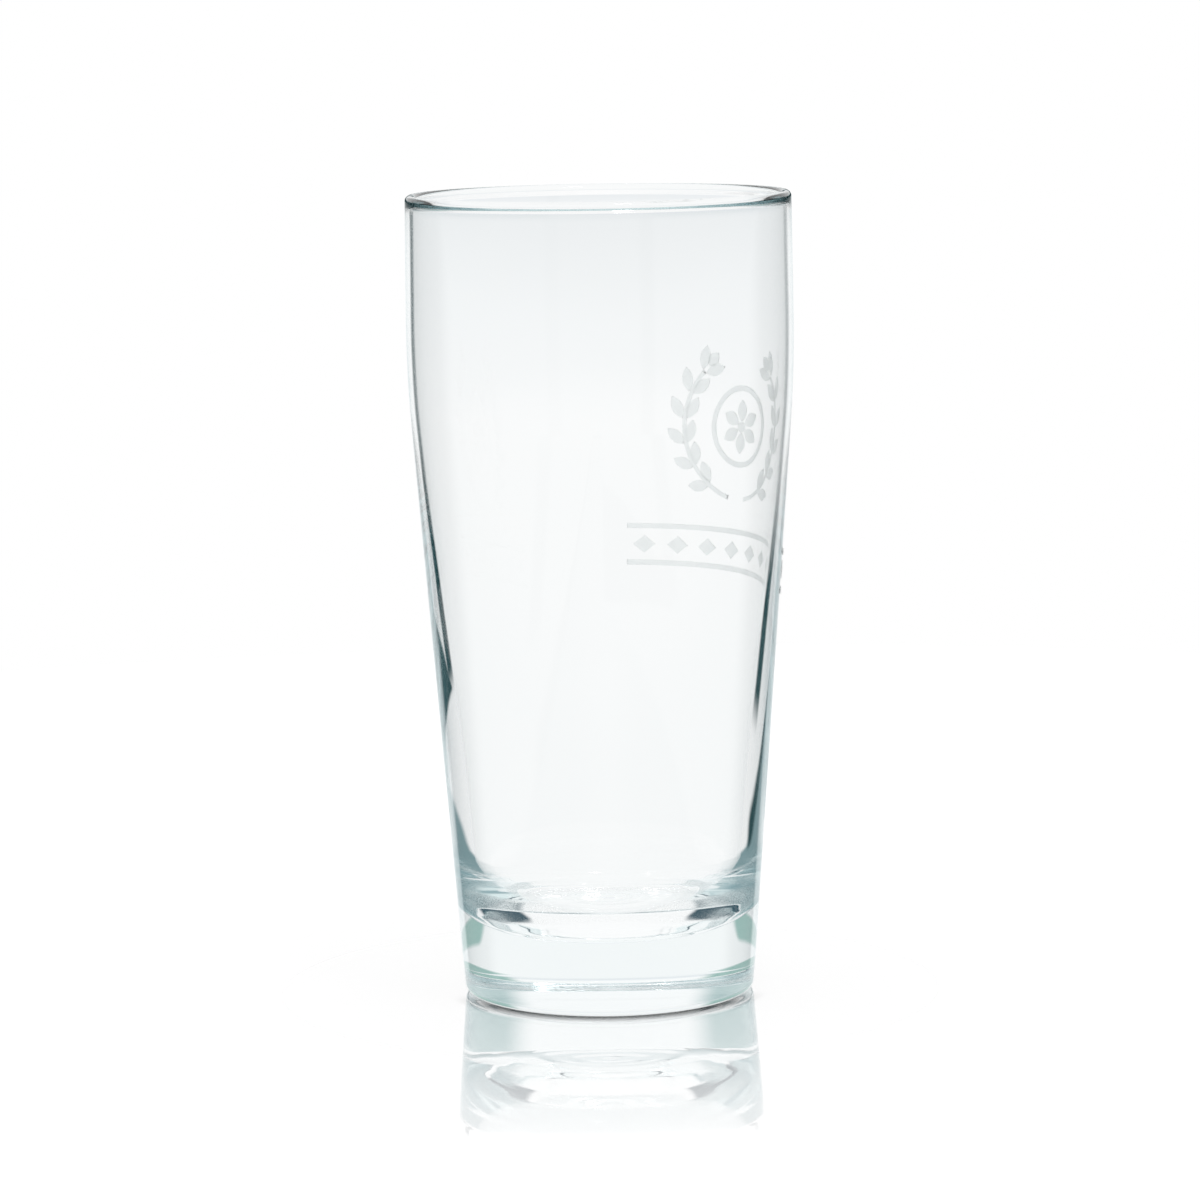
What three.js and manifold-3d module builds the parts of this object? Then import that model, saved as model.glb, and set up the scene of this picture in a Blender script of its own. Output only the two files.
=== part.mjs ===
// Tapered beer tumbler: one blown soda-lime glass body with a fired enamel print on its outside.
// Millimetres, +Z up, origin on the table under the middle of the foot.

import * as THREE from 'three';
import { TessellateModifier } from 'three/addons/modifiers/TessellateModifier.js';
import { mergeVertices } from 'three/addons/utils/BufferGeometryUtils.js';
import Module from 'manifold-3d';

// Outside of the glass
const height = 165;
const footRadius = 30; // at the top of the heel, where the taper starts
const heelRadius = 2;
const bearingRingWidth = 6; // the flat ring that stands on the table
const pushUp = 1.2; // depth of the hollow under the foot
const shoulderRadius = 39.7; // where the taper and the upper wall would meet without rounding
const shoulderHeight = 129;
const shoulderBlend = 12; // height of the rounding above and below that corner
const rimRadius = 39.35;

// Inside of the glass
const floorThickness = 13.5;
const floorCrown = 0.2; // rise of the inside floor at its middle
const cornerRadius = 18; // between inside floor and wall
const lowerWall = 4.4;
const upperWall = 1.3;
const lowerWallTop = 32; // the wall thins between these two heights
const upperWallFoot = 122;
const beadRadius = 1.2; // fire-polished lip, thickened inwards
const beadDrop = 2.4; // height over which the lip thins to the wall

// Enamel print, laid out flat about its centre and then wrapped on the wall
const enamelThickness = 0.2;
const enamelClearance = 0.05;
const printHeight = 108;
const printAzimuth = THREE.MathUtils.degToRad(38); // from +X towards +Y
const wreathRadius = 16;
const wreathRise = 6; // centre of the wreath above the print's centre
const wreathStart = THREE.MathUtils.degToRad(-80); // the ears grow from here, right of straight down
const wreathEnd = THREE.MathUtils.degToRad(42);
const stemWidth = 1;
const grainLength = 6.4;
const grainWidth = 2.6;
const grainSlant = THREE.MathUtils.degToRad(30);
const grainPairs = 6;
const roundelRadius = 9;
const roundelWidth = 1.2;
const petalLength = 6;
const petalWidth = 3;
const petalCount = 6;
const rosetteEyeRadius = 1.2;
const bandLength = 58;
const bandWidth = 1.1;
const bandRise = -21; // middle of the two bands below the print's centre
const bandSpacing = 8;
const lozengeLength = 5.4;
const lozengeHeight = 3.8;
const lozengeCount = 7;

// Facets
const turnSegments = 60;
const heelSegments = 4;
const domeSegments = 3;
const shoulderSegments = 6;
const beadSegments = 8;
const wallSegments = 10;
const cornerSegments = 6;
const outlineSegments = 5;
const ringSegments = 30;
const longestEnamelEdge = 3;
const splittingRounds = 24; // at most, until no edge is longer
const weldTolerance = 1e-4;

const wasm = await Module();
wasm.setup();

const glass = new THREE.MeshStandardMaterial({
  color: 0xdcebe8, roughness: 0.03, metalness: 0, transparent: true, opacity: 0.35,
});
const enamel = new THREE.MeshStandardMaterial({ color: 0xd3dad9, roughness: 0.55, metalness: 0 });

// Outside radius at a height: a straight taper, a parabola tangent to both sides, and the upper wall.
function outerRadius(z) {
  const taper = (shoulderRadius - footRadius) / (shoulderHeight - heelRadius);
  const lean = (rimRadius - shoulderRadius) / (height - shoulderHeight);
  const fromCorner = z - shoulderHeight;
  if (fromCorner <= -shoulderBlend) return shoulderRadius + taper * fromCorner;
  if (fromCorner >= shoulderBlend) return shoulderRadius + lean * fromCorner;
  const cut = (taper - lean) * (shoulderBlend - fromCorner) ** 2 / (4 * shoulderBlend);
  return shoulderRadius + lean * fromCorner - cut;
}

// Wall thickness at a height, eased from the thick lower wall to the thin upper one.
function wallThickness(z) {
  const thinned = THREE.MathUtils.smoothstep(z, lowerWallTop, upperWallFoot);
  return THREE.MathUtils.lerp(lowerWall, upperWall, thinned);
}

function innerRadius(z) {
  return outerRadius(z) - wallThickness(z);
}

// Evenly spaced values from one number to another, both ends included.
function steps(from, to, count) {
  return Array.from({ length: count + 1 }, (_, i) => THREE.MathUtils.lerp(from, to, i / count));
}

function arcPoints(centreX, centreY, radius, from, to, count) {
  return steps(from, to, count).map((angle) => new THREE.Vector2(
    centreX + radius * Math.cos(angle),
    centreY + radius * Math.sin(angle),
  ));
}

// A shallow parabolic crown over a disc, between two shares of the disc's radius.
function crownPoints(from, to, radius, z, rise) {
  return steps(from, to, domeSegments).map((share) => new THREE.Vector2(
    radius * share,
    z + rise * (1 - share ** 2),
  ));
}

// Half section of the glass: out along the underside, up, over the lip, and down to the inside floor.
function glassProfile() {
  const ringOuter = footRadius - heelRadius;
  const ringInner = ringOuter - bearingRingWidth;
  const underside = crownPoints(0, 1, ringInner, 0, pushUp);
  const heel = arcPoints(ringOuter, heelRadius, heelRadius, -Math.PI / 2, 0, heelSegments);
  const shoulder = steps(-shoulderBlend, shoulderBlend, shoulderSegments)
    .map((rise) => shoulderHeight + rise)
    .map((z) => new THREE.Vector2(outerRadius(z), z));

  const beadCentre = height - beadRadius;
  const beadMiddle = outerRadius(beadCentre) - beadRadius;
  const bead = arcPoints(beadMiddle, beadCentre, beadRadius, 0, Math.PI, beadSegments);

  const wallTop = height - beadDrop;
  const widening = innerRadius(lowerWallTop) - innerRadius(floorThickness);
  const lean = Math.atan(widening / (lowerWallTop - floorThickness));
  const cornerCentre = floorThickness + cornerRadius;
  const cornerTop = cornerCentre - cornerRadius * Math.sin(lean);
  const cornerMiddle = innerRadius(cornerTop) - cornerRadius * Math.cos(lean);
  const wall = steps(wallTop, cornerTop, wallSegments).map((z) => new THREE.Vector2(innerRadius(z), z));
  const corner = arcPoints(cornerMiddle, cornerCentre, cornerRadius, -lean, -Math.PI / 2, cornerSegments);
  const floor = crownPoints(1, 0, cornerMiddle, floorThickness, floorCrown);
  return [
    ...underside, ...heel, ...shoulder, ...bead, ...wall, ...corner.slice(1), ...floor.slice(1),
  ];
}

function glassBody() {
  const geometry = new THREE.LatheGeometry(glassProfile(), turnSegments);
  geometry.rotateX(Math.PI / 2);
  const mesh = new THREE.Mesh(geometry, glass);
  mesh.name = 'glass_body';
  return mesh;
}

// A pointed leaf from a base point along a direction, with its widest place at half its length.
function leaf(x, y, angle, length, width) {
  const along = new THREE.Vector2(Math.cos(angle), Math.sin(angle));
  const across = new THREE.Vector2(-along.y, along.x).multiplyScalar(width);
  const base = new THREE.Vector2(x, y);
  const tip = base.clone().addScaledVector(along, length);
  const middle = base.clone().lerp(tip, 0.5);
  const shape = new THREE.Shape();
  shape.moveTo(base.x, base.y);
  shape.quadraticCurveTo(middle.x - across.x, middle.y - across.y, tip.x, tip.y);
  shape.quadraticCurveTo(middle.x + across.x, middle.y + across.y, base.x, base.y);
  return shape;
}

function polygon(...corners) {
  return new THREE.Shape(corners.map(([x, y]) => new THREE.Vector2(x, y)));
}

function disc(radius) {
  const shape = new THREE.Shape();
  shape.absarc(0, wreathRise, radius, 0, 2 * Math.PI);
  return shape;
}

// A barley ear along the wreath: a stem, grains in slanted pairs on both sides and one at its tip.
function earShapes() {
  const stemEnd = wreathEnd + stemWidth / wreathRadius; // runs on under the last grains
  const edge = (radius) => arcPoints(0, wreathRise, radius, wreathStart, stemEnd, grainPairs * 2);
  const outer = edge(wreathRadius + stemWidth / 2);
  const inner = edge(wreathRadius - stemWidth / 2);
  const shapes = [new THREE.Shape([...outer, ...inner.reverse()])];
  for (const angle of steps(wreathStart, wreathEnd, grainPairs).slice(1)) {
    const x = wreathRadius * Math.cos(angle);
    const y = wreathRise + wreathRadius * Math.sin(angle);
    const growth = angle + Math.PI / 2;
    shapes.push(leaf(x, y, growth - grainSlant, grainLength, grainWidth));
    shapes.push(leaf(x, y, growth + grainSlant, grainLength, grainWidth));
    if (angle === wreathEnd) shapes.push(leaf(x, y, growth, grainLength, grainWidth));
  }
  return shapes;
}

function roundelShapes() {
  const ring = disc(roundelRadius);
  ring.holes.push(disc(roundelRadius - roundelWidth));
  return [ring];
}

function rosetteShapes() {
  const petals = Array.from({ length: petalCount }, (_, i) => (
    leaf(0, wreathRise, Math.PI / 2 + (i * 2 * Math.PI) / petalCount, petalLength, petalWidth)
  ));
  return [disc(rosetteEyeRadius), ...petals];
}

function lozengeShapes(index) {
  const pitch = bandLength / lozengeCount;
  const middle = (index - (lozengeCount - 1) / 2) * pitch;
  const reach = lozengeLength / 2;
  const rise = lozengeHeight / 2;
  return [polygon(
    [middle - reach, bandRise],
    [middle, bandRise - rise],
    [middle + reach, bandRise],
    [middle, bandRise + rise],
  )];
}

function weld(geometry) {
  const bare = geometry.clone();
  bare.deleteAttribute('normal');
  bare.deleteAttribute('uv');
  return mergeVertices(bare, weldTolerance);
}

function solid(geometry) {
  const welded = weld(geometry);
  return new wasm.Manifold(new wasm.Mesh({
    numProp: 3,
    vertProperties: new Float32Array(welded.attributes.position.array),
    triVerts: new Uint32Array(welded.index.array),
  }));
}

function surface(body) {
  const { vertProperties, triVerts } = body.getMesh();
  const geometry = new THREE.BufferGeometry();
  geometry.setAttribute('position', new THREE.BufferAttribute(vertProperties, 3));
  geometry.setIndex(new THREE.BufferAttribute(triVerts, 1));
  return geometry;
}

function enamelMesh(name, geometry) {
  const mesh = new THREE.Mesh(geometry, enamel);
  mesh.name = name;
  return mesh;
}

// A flat layer of enamel in the outline of one shape.
function layer(shape) {
  const curveSegments = shape.holes.length > 0 ? ringSegments : outlineSegments;
  const options = { depth: enamelThickness, bevelEnabled: false, curveSegments };
  return solid(new THREE.ExtrudeGeometry(shape, options));
}

// Flat layers joined, cut into short edges and wrapped on the wall, where across becomes arc length.
function print(name, shapes, mirrored = false) {
  const flat = surface(shapes.map(layer).reduce((sum, next) => sum.add(next)));
  const split = new TessellateModifier(longestEnamelEdge, splittingRounds).modify(flat);
  const geometry = mergeVertices(split, weldTolerance);
  const position = geometry.attributes.position;
  for (let i = 0; i < position.count; i += 1) {
    const across = mirrored ? -position.getX(i) : position.getX(i);
    const z = printHeight + position.getY(i);
    const radius = outerRadius(z) + enamelClearance + position.getZ(i);
    const angle = printAzimuth + across / outerRadius(printHeight);
    position.setXYZ(i, radius * Math.cos(angle), radius * Math.sin(angle), z);
  }
  if (mirrored) geometry.index.array.reverse();
  return enamelMesh(name, geometry);
}

// A stripe along the wall: a turned ring of enamel, cut to the print's length by a wedge from the axis.
function band(name, side) {
  const low = printHeight + bandRise + (side * bandSpacing - bandWidth) / 2;
  const high = low + bandWidth;
  const inner = (z) => outerRadius(z) + enamelClearance;
  const section = [
    [inner(low), low], [inner(low) + enamelThickness, low],
    [inner(high) + enamelThickness, high], [inner(high), high], [inner(low), low],
  ].map(([x, z]) => new THREE.Vector2(x, z));
  const ring = new THREE.LatheGeometry(section, turnSegments).rotateX(Math.PI / 2);

  const halfAngle = bandLength / 2 / outerRadius(printHeight);
  const reach = 2 * outerRadius(high);
  const wedge = new THREE.Shape([
    new THREE.Vector2(0, 0),
    ...arcPoints(0, 0, reach, printAzimuth - halfAngle, printAzimuth + halfAngle, outlineSegments),
  ]);
  const cutter = new THREE.ExtrudeGeometry(wedge, { depth: 3 * bandWidth, bevelEnabled: false });
  cutter.translate(0, 0, low - bandWidth);
  return enamelMesh(name, surface(solid(ring).intersect(solid(cutter))));
}

const tumbler = new THREE.Group();
tumbler.add(glassBody());
tumbler.add(print('print_ear_right', earShapes()));
tumbler.add(print('print_ear_left', earShapes(), true));
tumbler.add(print('print_roundel', roundelShapes()));
tumbler.add(print('print_rosette', rosetteShapes()));
tumbler.add(band('print_band_upper', 1));
tumbler.add(band('print_band_lower', -1));
for (let i = 0; i < lozengeCount; i += 1) {
  tumbler.add(print(`print_lozenge_${i + 1}`, lozengeShapes(i)));
}

export default tumbler;
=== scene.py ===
"""Looks of a tapered beer tumbler: a clear pressed glass body with a fired enamel print on its wall.

Laid out as an add-on and run as a script. Lengths are metres, +Z is up, and the origin is on the
table under the middle of the foot, as in the solids that the frame holds.
"""

import math

import bpy
import numpy as np
from bpy.props import FloatProperty, FloatVectorProperty, IntProperty, PointerProperty
from mathutils import Matrix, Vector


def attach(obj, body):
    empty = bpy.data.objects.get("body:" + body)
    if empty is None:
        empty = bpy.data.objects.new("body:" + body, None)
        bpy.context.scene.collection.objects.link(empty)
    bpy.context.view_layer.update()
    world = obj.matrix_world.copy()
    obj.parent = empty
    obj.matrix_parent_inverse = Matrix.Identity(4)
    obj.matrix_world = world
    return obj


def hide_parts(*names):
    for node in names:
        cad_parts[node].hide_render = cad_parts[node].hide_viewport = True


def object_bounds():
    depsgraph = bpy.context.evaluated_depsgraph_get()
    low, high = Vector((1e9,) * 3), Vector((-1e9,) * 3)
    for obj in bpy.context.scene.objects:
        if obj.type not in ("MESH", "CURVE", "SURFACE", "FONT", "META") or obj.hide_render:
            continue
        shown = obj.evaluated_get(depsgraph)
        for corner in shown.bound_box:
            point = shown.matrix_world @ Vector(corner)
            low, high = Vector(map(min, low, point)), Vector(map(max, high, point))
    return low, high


bl_info = {
    "name": "Beer Tumbler",
    "version": (1, 0, 0),
    "blender": (4, 5, 0),
    "location": "3D View > Sidebar > Tumbler",
    "description": "Builds a tapered beer tumbler of clear glass with an enamel print",
    "category": "Object",
}

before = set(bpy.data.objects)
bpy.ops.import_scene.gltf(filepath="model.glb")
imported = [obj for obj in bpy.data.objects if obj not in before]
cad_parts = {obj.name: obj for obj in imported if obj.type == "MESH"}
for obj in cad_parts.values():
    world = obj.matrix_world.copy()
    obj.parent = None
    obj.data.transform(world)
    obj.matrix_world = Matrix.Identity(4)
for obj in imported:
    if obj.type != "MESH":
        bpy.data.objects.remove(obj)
CAD_LOW, CAD_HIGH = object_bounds()

MM = 0.001
BODY = "root"
ENAMEL_MATERIAL = "fired_enamel"
SENSOR_WIDTH = 36
LIGHT_BOUNCES = 64

# Steps along each stretch of the glass's section and of the print's strokes.
UNDERSIDE_STEPS = 16
HEEL_STEPS = 12
WALL_STEPS = 84
BEAD_STEPS = 25
LIP_STEPS = 16
CORNER_STEPS = 90
FLOOR_STEPS = 60
STROKE_SECTION_STEPS = 14
STEM_STEPS = 48
LEAF_STEPS = 15
EYE_STEPS = 15
RING_STEPS = 96
BAND_STEPS = 97
LOZENGE_STEPS = 17

# Forms of the enamel strokes. A stroke stops just short of a point, so that its end can be closed.
STROKE_SQUARENESS = 0.3
STEM_FULLNESS = 0.7
EYE_FULLNESS = 1.15
SHORT_OF_TIP = 0.02


def length(name, default, description):
    """A property that holds a length."""
    return FloatProperty(name=name, description=description, default=default, unit="LENGTH", precision=5)


def angle(name, degrees, description):
    """A property that holds an angle, given here in degrees."""
    return FloatProperty(name=name, description=description, default=math.radians(degrees), subtype="ANGLE")


def share(name, default, description):
    """A property that holds a plain factor."""
    return FloatProperty(name=name, description=description, default=default, subtype="FACTOR", precision=4)


def tint(name, default, description):
    """A property that holds a linear colour."""
    return FloatVectorProperty(
        name=name, description=description, default=default, subtype="COLOR", size=3, min=0, max=1)


class GlassSizes(bpy.types.PropertyGroup):
    """Section of the glass and the rings in its inside floor."""

    height: length("Height", CAD_HIGH.z, "From the table to the lip")
    foot_radius: length("Foot radius", 30 * MM, "At the top of the heel, where the taper starts")
    heel_radius: length("Heel radius", 2 * MM, "Rounding between the bearing ring and the wall")
    bearing_width: length("Bearing ring", 6 * MM, "Width of the flat ring that stands on the table")
    push_up: length("Push-up", 1.2 * MM, "Depth of the hollow under the foot")
    shoulder_radius: length("Shoulder radius", 39.7 * MM, "Where taper and upper wall would meet unrounded")
    shoulder_height: length("Shoulder height", 129 * MM, "Height of that corner")
    shoulder_blend: length("Shoulder blend", 12 * MM, "Height of the rounding above and below the corner")
    rim_radius: length("Rim radius", 39.35 * MM, "Outside radius at the lip")
    floor_thickness: length("Floor thickness", 13.5 * MM, "From the table to the foot of the inside floor")
    floor_crown: length("Floor crown", 0.2 * MM, "Rise of the inside floor at its middle")
    corner_radius: length("Corner radius", 18 * MM, "Between inside floor and wall")
    lower_wall: length("Lower wall", 4.4 * MM, "Wall thickness near the foot")
    upper_wall: length("Upper wall", 1.3 * MM, "Wall thickness near the lip")
    lower_wall_top: length("Lower wall top", 32 * MM, "The wall starts to thin at this height")
    upper_wall_foot: length("Upper wall foot", 122 * MM, "The wall has thinned at this height")
    bead_radius: length("Bead radius", 1.2 * MM, "Rounding of the fire-polished lip")
    bead_drop: length("Bead drop", 2.4 * MM, "Height over which the lip thins to the wall")
    ripple_depth: length("Ripple depth", 0.05 * MM, "Height of the rings in the inside floor")
    ripple_end: length("Ripple end", 32 * MM, "Way from the axis where the rings have faded")
    ripple_pitch: length("Ripple pitch", 4 * MM, "Distance between the rings in the inside floor")
    turn_count: IntProperty(name="Turn steps", description="Steps round the axis", default=256)


class PrintSizes(bpy.types.PropertyGroup):
    """Enamel print, laid out flat about its centre and wrapped on the wall."""

    thickness: length("Enamel thickness", 0.2 * MM, "How far the enamel stands proud of the glass")
    gap: length("Enamel gap", 0.01 * MM, "Gap that keeps the enamel's back apart from the glass")
    height: length("Print height", 108 * MM, "Height of the print's centre")
    azimuth: angle("Print azimuth", 38, "Direction of the print's centre, from +X towards +Y")
    wreath_radius: length("Wreath radius", 16 * MM, "Radius of the two barley ears")
    wreath_rise: length("Wreath rise", 6 * MM, "Centre of the wreath above the print's centre")
    wreath_start: angle("Wreath start", -80, "Where the right ear grows from")
    wreath_end: angle("Wreath end", 42, "Where the right ear's last grains sit")
    stem_width: length("Stem width", 1 * MM, "Width of an ear's stem")
    grain_length: length("Grain length", 6.4 * MM, "Length of a grain")
    grain_width: length("Grain width", 2.6 * MM, "Width of a grain")
    grain_slant: angle("Grain slant", 30, "Angle between a grain and the stem")
    grain_start: length("Grain start", 1.1 * MM, "Bare stretch between the stem's middle and a grain")
    bud_start: length("Bud start", 2.6 * MM, "Bare stretch between the last pair and the grain at the tip")
    grain_pairs: IntProperty(name="Grain pairs", description="Pairs of grains on an ear", default=6)
    roundel_radius: length("Roundel radius", 9 * MM, "Outside of the ring")
    roundel_width: length("Roundel width", 1.2 * MM, "Width of the ring's line")
    petal_length: length("Petal length", 6 * MM, "Length of a petal")
    petal_width: length("Petal width", 3 * MM, "Width of a petal")
    petal_count: IntProperty(name="Petals", description="Petals of the rosette", default=6)
    eye_radius: length("Eye radius", 1.2 * MM, "Disc in the middle of the rosette")
    band_length: length("Band length", 58 * MM, "Length of the two stripes")
    band_width: length("Band width", 1.1 * MM, "Width of a stripe")
    band_rise: length("Band rise", -21 * MM, "Middle of the stripes against the print's centre")
    band_spacing: length("Band spacing", 8 * MM, "Between the middles of the two stripes")
    lozenge_length: length("Lozenge length", 5.4 * MM, "Length of a lozenge")
    lozenge_height: length("Lozenge height", 3.8 * MM, "Height of a lozenge")
    lozenge_count: IntProperty(name="Lozenges", description="Lozenges between the stripes", default=7)


class FinishSettings(bpy.types.PropertyGroup):
    """Colours of the two materials."""

    glass_tint: tint("Glass tint", (0.86, 0.93, 0.94), "Colour that thick glass takes on")
    glass_density: FloatProperty(
        name="Glass density", description="Strength of the tint for each metre of glass", default=8.0)
    enamel_pale: tint("Pale enamel", (0.97, 0.985, 0.98), "Enamel where the layer is full")
    enamel_thin: tint("Thin enamel", (0.90, 0.93, 0.925), "Enamel where the layer is thin")


class StageSettings(bpy.types.PropertyGroup):
    """Camera, floor and light of the picture."""

    camera_distance: length("Camera distance", 0.9811, "From the glass's axis, along -Y")
    camera_height: length("Camera height", 0.21213, "Above the table")
    camera_offset: length("Camera offset", -0.83 * MM, "Sideways, along X")
    camera_pitch: angle("Camera pitch", 7.598, "Below the horizon")
    camera_roll: angle("Camera roll", -0.874, "About the line of sight")
    camera_lens: FloatProperty(
        name="Lens", description="Focal length in millimetres on a 36 mm sensor", default=144.23)
    floor_radius: length("Floor radius", 0.5, "Radius of the round floor")
    floor_gloss: share("Floor gloss", 0.75, "Strength of the mirror image at the foot")
    gloss_start: length("Gloss start", 30 * MM, "Where the mirror image starts to fade")
    gloss_end: length("Gloss end", 190 * MM, "Where the mirror image has faded")
    floor_glow: share("Floor glow", 0.45, "Share of the floor's white that shadow can't take away")
    ambient: share("Ambient light", 1.0, "Brightness of the surroundings for matt surfaces")
    # Painted reflection: dark tone for the stripes that draw the glass's edges and for the dark in its
    # outside reflection.
    painted_reflection_dark: tint("Flag colour", (0.0, 0.03, 0.035), "Dark stripes that draw the glass's edges")
    # Painted shade: grey of the pool near the foot that inner reflections show; the floor itself is white.
    painted_pool_grey: tint("Table grey", (0.22, 0.33, 0.35), "Table near the foot as the glass's edges show it")
    # Strength of the painted shade on the table in front of the glass.
    front_strength: share("Front strength", 0.35, "Strength of the table's pattern in front of the glass")
    # Painted shadow of the heel on the floor, in front of it.
    contact_start: length("Contact start", 28 * MM, "Where the shadow of the heel starts to fade")
    contact_end: length("Contact end", 34.5 * MM, "Where the shadow of the heel has faded")
    contact_shadow: share("Contact shadow", 0.82, "Depth of the shadow in front of the heel")
    floor_drop: length("Floor drop", 0.02 * MM, "Gap that keeps the floor apart from the bearing ring")
    # Painted shade: green that the solid foot shows at its sides, laid into the surround and onto the floor.
    painted_foot_green: tint("Patch green", (0.33, 0.52, 0.48), "Sides of the studio as the solid foot shows them")
    # Painted reflection: tones that inner reflections show, laid into the surround and the painted shade on
    # the table.
    slate: tint("Slate", (0.01, 0.06, 0.09), "Darkest tone of what many inner reflections show")
    deep_dark: tint("Deep dark", (0.28, 0.41, 0.44), "Middle tone of what they show")
    deep_pale: tint("Deep pale", (0.80, 0.88, 0.88), "Palest of what they show")
    lamp_power: FloatProperty(
        name="Lamp power", description="Power of the lamp overhead", default=0.6, unit="POWER")


def smoothstep(value, low, high):
    """Eases from 0 at low to 1 at high: 3 t squared less 2 t cubed."""
    t = np.clip((value - low) / (high - low), 0, 1)
    return t * t * (3 - 2 * t)


def outer_radius(glass, z):
    """Outside radius at height z: a straight taper, a parabola tangent to both sides, and the upper wall."""
    taper = (glass.shoulder_radius - glass.foot_radius) / (glass.shoulder_height - glass.heel_radius)
    lean = (glass.rim_radius - glass.shoulder_radius) / (glass.height - glass.shoulder_height)
    blend = glass.shoulder_blend
    above = z - glass.shoulder_height
    cut = (taper - lean) * np.clip(blend - above, 0, None) ** 2 / (4 * blend)
    rounded = glass.shoulder_radius + lean * above - cut
    return np.where(above < -blend, glass.shoulder_radius + taper * above, rounded)


def inner_radius(glass, z):
    """Inside radius at height z: less by the wall, which eases from thick to thin and swells at the lip."""
    thinned = smoothstep(z, glass.lower_wall_top, glass.upper_wall_foot)
    wall = glass.lower_wall + (glass.upper_wall - glass.lower_wall) * thinned
    swell = smoothstep(z, glass.height - glass.bead_drop, glass.height - glass.bead_radius)
    return outer_radius(glass, z) - wall - (2 * glass.bead_radius - wall) * swell


def arc(centre_r, centre_z, radius, start, end, count):
    """Points of a round stretch of a section: centre plus radius times cosine and sine of an angle."""
    turn = np.linspace(start, end, count)
    return np.stack([centre_r + radius * np.cos(turn), centre_z + radius * np.sin(turn)], axis=1)


def glass_outside(glass):
    """Half section from the middle of the underside to the top of the lip, as rows of radius and height."""
    ring_outer = glass.foot_radius - glass.heel_radius
    ring_inner = ring_outer - glass.bearing_width
    hollow = np.linspace(0, ring_inner, UNDERSIDE_STEPS)
    underside = np.stack([hollow, glass.push_up * (1 - (hollow / ring_inner) ** 2)], axis=1)
    heel = arc(ring_outer, glass.heel_radius, glass.heel_radius, -math.pi / 2, 0, HEEL_STEPS)
    bead_centre = glass.height - glass.bead_radius
    z = np.linspace(glass.heel_radius, bead_centre, WALL_STEPS)[1:-1]
    wall = np.stack([outer_radius(glass, z), z], axis=1)
    bead_middle = float(outer_radius(glass, bead_centre)) - glass.bead_radius
    bead = arc(bead_middle, bead_centre, glass.bead_radius, 0, math.pi, BEAD_STEPS)
    return np.concatenate([underside, heel, wall, bead])


def ripple(glass, way):
    """Height of the rings in the inside floor, at a way from the axis."""
    wave = np.cos(2 * math.pi * way / glass.ripple_pitch)
    return glass.ripple_depth * wave * smoothstep(way, glass.ripple_end, 0.5 * glass.ripple_end)


def glass_inside(glass):
    """Half section from the lip down the inside wall, round a corner tangent to it, to the floor's middle.

    The floor is a shallow crown. Rings from the pressing run over floor and corner: a cosine of the way
    from the axis along the section, which fades up the corner.
    """
    floor_z = glass.floor_thickness
    widening = inner_radius(glass, glass.lower_wall_top) - inner_radius(glass, floor_z)
    lean = math.atan(widening / (glass.lower_wall_top - floor_z))
    corner_centre = floor_z + glass.corner_radius
    corner_top = corner_centre - glass.corner_radius * math.sin(lean)
    corner_middle = float(inner_radius(glass, corner_top)) - glass.corner_radius * math.cos(lean)
    lip_foot = glass.height - glass.bead_drop
    lip = np.linspace(glass.height - glass.bead_radius, lip_foot, LIP_STEPS)[1:]
    z = np.concatenate([lip, np.linspace(lip_foot, corner_top, WALL_STEPS)[1:]])
    wall = np.stack([inner_radius(glass, z), z], axis=1)
    turn = np.linspace(lean, math.pi / 2, CORNER_STEPS)[1:]
    way = corner_middle + glass.corner_radius * (math.pi / 2 - turn)
    reach = glass.corner_radius - ripple(glass, way)
    corner = np.stack([corner_middle + reach * np.cos(turn), corner_centre - reach * np.sin(turn)], axis=1)
    r = np.linspace(corner_middle, 0, FLOOR_STEPS)[1:]
    crown = floor_z + glass.floor_crown * (1 - (r / corner_middle) ** 2) + ripple(glass, r)
    floor = np.stack([r, crown], axis=1)
    return np.concatenate([wall, corner, floor])


def turned(r, z, count):
    """Rings of a half section turned about Z: a point is (r cos a, r sin a, z)."""
    turn = np.linspace(0, 2 * math.pi, count, endpoint=False)
    height = np.broadcast_to(z[:, None], (len(r), count))
    return np.stack([r[:, None] * np.cos(turn), r[:, None] * np.sin(turn), height], axis=2)


def glass_surface(glass):
    """The half section turned. Its two ends lie on the axis and are one vertex each."""
    section = np.concatenate([glass_outside(glass), glass_inside(glass)])
    rings = turned(section[:, 0], section[:, 1], glass.turn_count)
    return capped(rings[1:-1], rings[0].mean(axis=0), rings[-1].mean(axis=0))


def ring_quads(ring_count, around, wraps=False):
    """Quads between neighbouring rings of a grid, each ring closed on itself."""
    i = np.arange(ring_count if wraps else ring_count - 1)[:, None]
    k = np.arange(around)[None, :]
    here, there = i * around, (i + 1) % ring_count * around
    follows = (k + 1) % around
    return np.stack([here + k, here + follows, there + follows, there + k], axis=2).reshape(-1, 4)


def capped(rings, first, last):
    """A grid of closed rings with one vertex at each end: the vertices and the faces that close it."""
    count, around = rings.shape[:2]
    first_index, last_index = count * around, count * around + 1
    k = np.arange(around)
    follows = (k + 1) % around
    top = (count - 1) * around
    start = np.stack([np.full(around, first_index), follows, k], axis=1)
    end = np.stack([np.full(around, last_index), top + k, top + follows], axis=1)
    vertices = np.concatenate([rings.reshape(-1, 3), first[None, :], last[None, :]])
    return vertices, ring_quads(count, around).tolist() + start.tolist() + end.tolist()


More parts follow.
